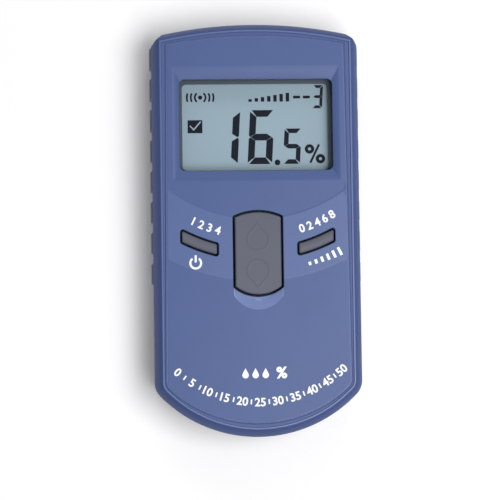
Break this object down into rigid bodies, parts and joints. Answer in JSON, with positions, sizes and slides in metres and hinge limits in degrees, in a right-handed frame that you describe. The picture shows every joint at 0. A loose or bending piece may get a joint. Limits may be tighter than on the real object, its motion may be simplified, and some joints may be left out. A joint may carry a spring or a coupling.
{
  "type": "moisture meter",
  "caption": "Handheld pinless moisture meter with a display, side keys, a rocker key and a sensing pad.",
  "frame": {"origin": "middle of the outline, in the plane of the sensing pad that the meter rests on", "axes": "+Y along the case towards the display end, +Z out of the front face, +X to the right of someone reading the display"},
  "size_m": [0.0738, 0.145, 0.028],
  "materials": {
    "case_plastic": "fine satin moulded",
    "rear_plastic": "fine satin moulded",
    "key_plastic": "soft satin",
    "pad_plastic": "satin",
    "window_acrylic": "clear",
    "lcd_glass": "clear",
    "lcd_frame_plastic": "satin",
    "contact_rubber": "matt",
    "board_laminate": "solder mask",
    "component_body": "satin",
    "foam": "open cell",
    "battery_jacket": "painted",
    "red_insulation": "smooth",
    "black_insulation": "smooth",
    "plated_steel": "plated",
    "copper_foil": "plain"
  },
  "bodies": {
    "case": {"front_cover": "case_plastic", "rear_cover": "rear_plastic", "display_window": "window_acrylic", "lcd_front_glass": "window_acrylic", "lcd_rear_glass": "lcd_glass", "lcd_frame": "lcd_frame_plastic", "zebra_strip_upper": "contact_rubber", "zebra_strip_lower": "contact_rubber", "mode_switch_body": "component_body", "density_switch_body": "component_body", "up_switch_body": "component_body", "down_switch_body": "component_body", "main_pcb": "board_laminate", "microcontroller": "component_body", "amplifier_chip": "component_body", "crystal": "plated_steel", "voltage_regulator": "component_body", "supply_capacitor": "component_body", "oscillator_inductor": "component_body", "sensor_pad": "pad_plastic", "sensor_electrode_inner": "copper_foil", "sensor_electrode_outer": "copper_foil", "sensor_spring_inner": "plated_steel", "sensor_spring_outer": "plated_steel", "battery": "battery_jacket", "battery_terminal_positive": "plated_steel", "battery_terminal_negative": "plated_steel", "snap_connector": "black_insulation", "snap_contact_positive": "plated_steel", "snap_contact_negative": "plated_steel", "battery_lead_red": "red_insulation", "battery_lead_black": "black_insulation", "battery_foam_pad": "foam", "case_screw_1": "plated_steel", "pcb_screw_1": "plated_steel", "case_screw_2": "plated_steel", "pcb_screw_2": "plated_steel", "case_screw_3": "plated_steel", "pcb_screw_3": "plated_steel", "case_screw_4": "plated_steel", "pcb_screw_4": "plated_steel"},
    "mode_key": {"mode_key": "key_plastic", "mode_switch_stem": "component_body"},
    "density_key": {"density_key": "key_plastic", "density_switch_stem": "component_body"},
    "rocker_key": {"rocker_key": "key_plastic"},
    "up_switch_stem": {"up_switch_stem": "component_body"},
    "down_switch_stem": {"down_switch_stem": "component_body"},
    "battery_door": {"battery_door": "rear_plastic"}
  },
  "joints": [
    {"name": "mode_key_press", "type": "slide", "parent": "case", "child": "mode_key", "axis": [0, 0, -1], "range_m": [0, 0.0003], "stiffness_N_per_m": 4000, "springref_m": -0.0001},
    {"name": "density_key_press", "type": "slide", "parent": "case", "child": "density_key", "axis": [0, 0, -1], "range_m": [0, 0.0003], "stiffness_N_per_m": 4000, "springref_m": -0.0001},
    {"name": "rocker_tilt", "type": "hinge", "parent": "case", "child": "rocker_key", "pos_m": [0, -0.0086, 0.0234], "axis": [1, 0, 0], "range_deg": [-1.5, 1.5], "stiffness_Nm_per_rad": 0.3},
    {"name": "up_switch_press", "type": "slide", "parent": "case", "child": "up_switch_stem", "axis": [0, 0, -1], "range_m": [-0.00025, 0.00025]},
    {"name": "down_switch_press", "type": "slide", "parent": "case", "child": "down_switch_stem", "axis": [0, 0, -1], "range_m": [-0.00025, 0.00025]},
    {"name": "battery_door_slide", "type": "slide", "parent": "case", "child": "battery_door", "axis": [0, -1, 0], "range_m": [0, 0.06]}
  ],
  "couplings": [
    {"joint": "up_switch_press", "follows": "rocker_tilt", "m_per_rad": -0.0094},
    {"joint": "down_switch_press", "follows": "rocker_tilt", "m_per_rad": 0.0094}
  ]
}
